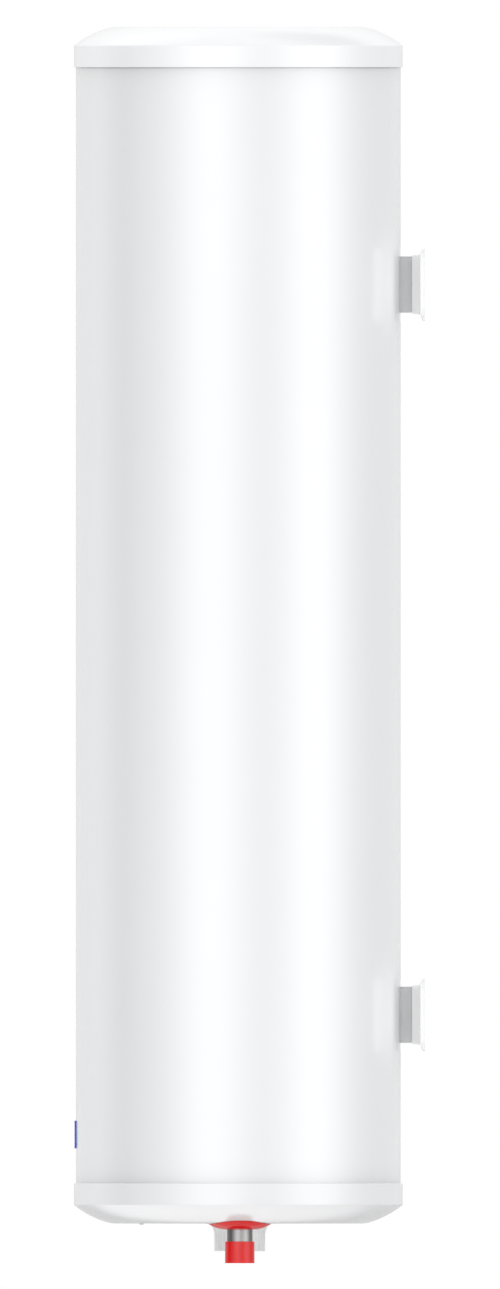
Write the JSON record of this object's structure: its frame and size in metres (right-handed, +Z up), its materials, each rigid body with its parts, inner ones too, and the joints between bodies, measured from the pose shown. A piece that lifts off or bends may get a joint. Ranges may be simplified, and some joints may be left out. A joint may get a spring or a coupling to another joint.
{
  "type": "tank water heater",
  "caption": "Slim round wall-hung electric storage water heater, white, with pipes, knob and lamp underneath and two wall brackets behind.",
  "frame": {"origin": "on the wall plane, at the middle of the upper wall bracket", "axes": "+Z up along the tank, +Y into the wall, so the front faces -Y and the hot pipe is on the +X side"},
  "size_m": [0.2732, 0.2916, 1.0272],
  "materials": {
    "white_enamel": "glossy white enamelled steel sheet",
    "white_plastic": "satin white moulded plastic",
    "badge_blue": "glossy blue plate, blank",
    "grey_paint": "satin grey painted steel",
    "grey_plastic": "pale grey moulded plastic",
    "red_plastic": "red moulded plastic",
    "blue_plastic": "blue moulded plastic",
    "amber_lens": "clear amber lens",
    "steel": "zinc plated or plain steel",
    "copper_sheath": "copper tube",
    "tank_enamel": "glass-lined steel",
    "magnesium": "cast magnesium rod",
    "foam": "rigid polyurethane foam",
    "rubber": "black sealing rubber",
    "dark_plastic": "dark moulded plastic",
    "brown_wire": "brown insulated lead",
    "blue_wire": "blue insulated lead",
    "green_wire": "green insulated lead"
  },
  "bodies": {
    "heater_body": {"outer_jacket": "white_enamel", "top_cover": "white_plastic", "bottom_cover": "white_plastic", "front_badge": "badge_blue", "upper_wall_plate": "white_plastic", "lower_wall_plate": "white_plastic", "upper_bracket_arm": "grey_paint", "lower_bracket_arm": "grey_paint", "upper_bracket_saddle": "steel", "lower_bracket_saddle": "steel", "upper_bracket_bolt_1": "steel", "upper_bracket_bolt_2": "steel", "lower_bracket_bolt_1": "steel", "lower_bracket_bolt_2": "steel", "hot_rosette": "red_plastic", "cold_rosette": "blue_plastic", "hot_outlet_pipe": "steel", "cold_inlet_pipe": "steel", "inlet_diffuser": "white_plastic", "thermostat_body": "dark_plastic", "thermostat_capillary": "copper_sheath", "indicator_lens": "amber_lens", "indicator_lamp": "white_plastic", "cable_gland": "white_plastic", "gland_locknut": "white_plastic", "cover_screw_1": "steel", "cover_screw_2": "steel", "cover_tab_1": "steel", "cover_tab_2": "steel", "tank_barrel": "tank_enamel", "tank_top_dome": "tank_enamel", "tank_bottom_dome": "tank_enamel", "insulation_foam": "foam", "flange_collar": "steel", "flange_gasket": "rubber", "flange_plate": "steel", "flange_bolt_1": "steel", "flange_bolt_2": "steel", "flange_bolt_3": "steel", "flange_bolt_4": "steel", "flange_bolt_5": "steel", "flange_bolt_6": "steel", "electrics_bracket": "steel", "heating_element_a": "copper_sheath", "heating_element_b": "copper_sheath", "anode_rod": "magnesium", "thermowell": "copper_sheath", "safety_cutout": "dark_plastic", "terminal_block": "white_plastic", "live_wire": "brown_wire", "cutout_wire": "brown_wire", "element_link_wire": "brown_wire", "lamp_lead": "brown_wire", "neutral_wire": "blue_wire", "earth_wire": "green_wire"},
    "knob": {"thermostat_knob": "grey_plastic", "thermostat_spindle": "steel"},
    "reset": {"reset_button": "red_plastic"},
    "hot_cap": {"hot_pipe_cap": "red_plastic"},
    "cold_cap": {"cold_pipe_cap": "blue_plastic"}
  },
  "joints": [
    {"name": "knob_turn", "type": "hinge", "parent": "heater_body", "child": "knob", "pos_m": [0, -0.1538, -0.7918], "axis": [0, 0, 1], "range_deg": [0, 270]},
    {"name": "reset_press", "type": "slide", "parent": "heater_body", "child": "reset", "axis": [0, 0, 1], "range_m": [0, 0.0015], "stiffness_N_per_m": 500},
    {"name": "hot_cap_pull", "type": "slide", "parent": "heater_body", "child": "hot_cap", "axis": [0, 0, -1], "range_m": [0, 0.03]},
    {"name": "cold_cap_pull", "type": "slide", "parent": "heater_body", "child": "cold_cap", "axis": [0, 0, -1], "range_m": [0, 0.03]}
  ]
}
